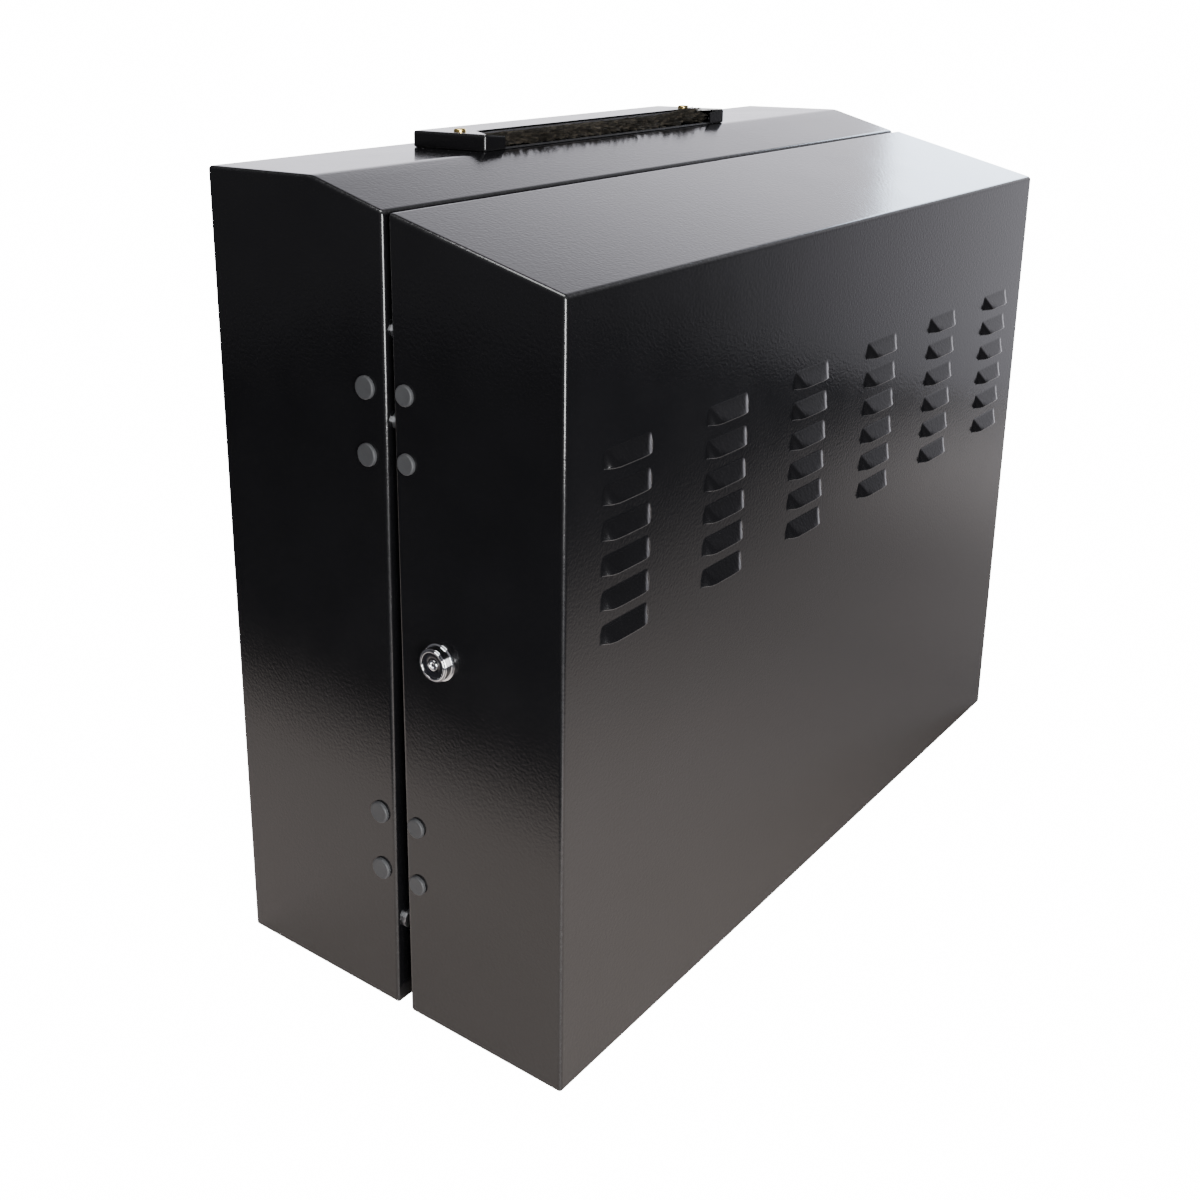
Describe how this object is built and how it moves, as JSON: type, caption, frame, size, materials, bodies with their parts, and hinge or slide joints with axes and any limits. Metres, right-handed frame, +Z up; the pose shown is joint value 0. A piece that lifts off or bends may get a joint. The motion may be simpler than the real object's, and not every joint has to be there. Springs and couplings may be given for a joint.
{
  "type": "wall-mount battery box",
  "caption": "Wall-hung black steel cabinet in two shells: rear shell and deep hinged door with sloping top, pressed louvres, side cam lock and a brush cable entry on top.",
  "frame": {"origin": "middle of the rear shell's wall face: half-way across its width, and half-way up its height", "axes": "+X to the right seen from the front, +Y into the wall, +Z up; the door faces -Y"},
  "size_m": [0.575, 0.2365, 0.4691],
  "materials": {
    "powder_coat": "black semi-gloss powder coat with a fine orange-peel surface",
    "black_plastic": "dark grey moulded plastic, lightly textured",
    "bristle_fibre": "black nylon bristles",
    "zinc_steel": "bright zinc plate",
    "yellow_zinc": "yellow passivated zinc plate",
    "chrome": "polished chrome",
    "lock_black": "smooth black"
  },
  "bodies": {
    "case": {"brush_bristles": "bristle_fibre", "brush_holder": "zinc_steel", "brush_hood": "powder_coat", "hinge_lower_pin": "zinc_steel", "hinge_lower_shell_high_bolt": "zinc_steel", "hinge_lower_shell_high_nut": "zinc_steel", "hinge_lower_shell_leaf": "powder_coat", "hinge_lower_shell_low_bolt": "zinc_steel", "hinge_lower_shell_low_nut": "zinc_steel", "hinge_upper_pin": "zinc_steel", "hinge_upper_shell_high_bolt": "zinc_steel", "hinge_upper_shell_high_nut": "zinc_steel", "hinge_upper_shell_leaf": "powder_coat", "hinge_upper_shell_low_bolt": "zinc_steel", "hinge_upper_shell_low_nut": "zinc_steel", "hood_screw_left": "yellow_zinc", "hood_screw_right": "yellow_zinc", "plug_shell_1": "black_plastic", "plug_shell_2": "black_plastic", "plug_shell_3": "black_plastic", "plug_shell_4": "black_plastic", "rail_bolt_left_1": "zinc_steel", "rail_bolt_left_2": "zinc_steel", "rail_bolt_left_3": "zinc_steel", "rail_bolt_right_1": "zinc_steel", "rail_bolt_right_2": "zinc_steel", "rail_bolt_right_3": "zinc_steel", "rail_left": "zinc_steel", "rail_right": "zinc_steel", "rear_shell": "powder_coat", "shell_earth_nut": "zinc_steel", "shell_earth_stud": "zinc_steel"},
    "door": {"door_earth_nut": "zinc_steel", "door_earth_stud": "zinc_steel", "door_shell": "powder_coat", "hinge_lower_door_high_bolt": "zinc_steel", "hinge_lower_door_high_nut": "zinc_steel", "hinge_lower_door_leaf": "powder_coat", "hinge_lower_door_low_bolt": "zinc_steel", "hinge_lower_door_low_nut": "zinc_steel", "hinge_upper_door_high_bolt": "zinc_steel", "hinge_upper_door_high_nut": "zinc_steel", "hinge_upper_door_leaf": "powder_coat", "hinge_upper_door_low_bolt": "zinc_steel", "hinge_upper_door_low_nut": "zinc_steel", "lock_barrel": "chrome", "lock_nut": "zinc_steel", "plug_door_1": "black_plastic", "plug_door_2": "black_plastic", "plug_door_3": "black_plastic", "plug_door_4": "black_plastic"},
    "lock": {"cam_screw": "zinc_steel", "lock_cam": "zinc_steel", "lock_plug": "lock_black", "lock_post": "chrome"}
  },
  "joints": [
    {"name": "door_swing", "type": "hinge", "parent": "case", "child": "door", "pos_m": [0.28452, -0.1228, 0], "axis": [0, 0, 1], "range_deg": [0, 180]},
    {"name": "lock_turn", "type": "hinge", "parent": "door", "child": "lock", "pos_m": [-0.28, -0.1548, -0.00785], "axis": [1, 0, 0], "range_deg": [0, 90]}
  ]
}
